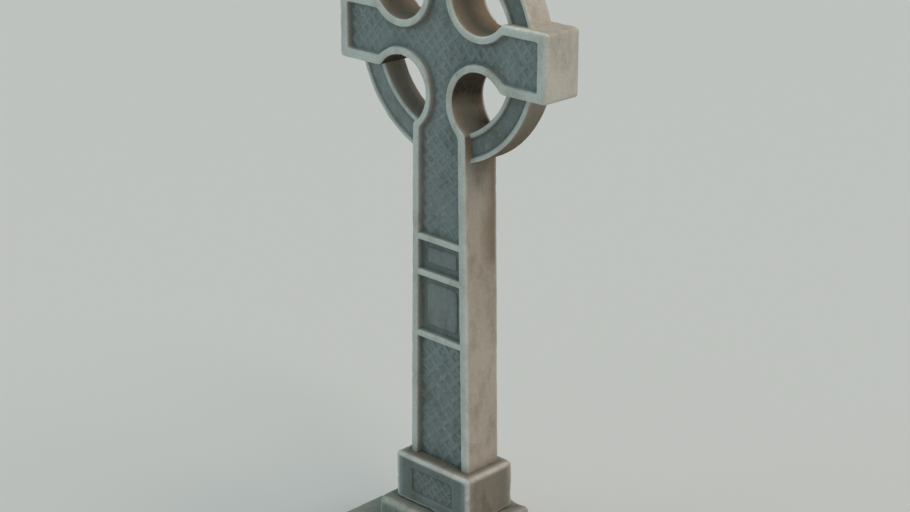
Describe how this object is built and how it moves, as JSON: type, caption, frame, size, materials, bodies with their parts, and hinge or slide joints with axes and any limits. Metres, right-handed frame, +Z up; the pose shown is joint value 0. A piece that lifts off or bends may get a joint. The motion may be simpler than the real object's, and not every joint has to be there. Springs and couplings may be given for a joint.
{
  "type": "celtic cross gravestone",
  "caption": "Tall carved stone grave cross with a ring behind its arms, sunk knotwork panels, a squared plinth and a stepped base.",
  "frame": {"origin": "centre of the lower step's underside, on the ground", "axes": "+Z up; the carved front faces -Y; +X to the right seen from the front, along the arms"},
  "size_m": [0.804, 0.491, 2.0469],
  "materials": {
    "cross_stone": "weathered grey stone, carved, paler on its worn edges",
    "plinth_stone": "weathered grey stone, squared",
    "step_stone": "weathered grey stone, tooled, darker near the ground"
  },
  "bodies": {
    "root": {"cross": "cross_stone", "plinth": "plinth_stone", "upper_step": "step_stone", "lower_step": "step_stone"}
  },
  "joints": []
}
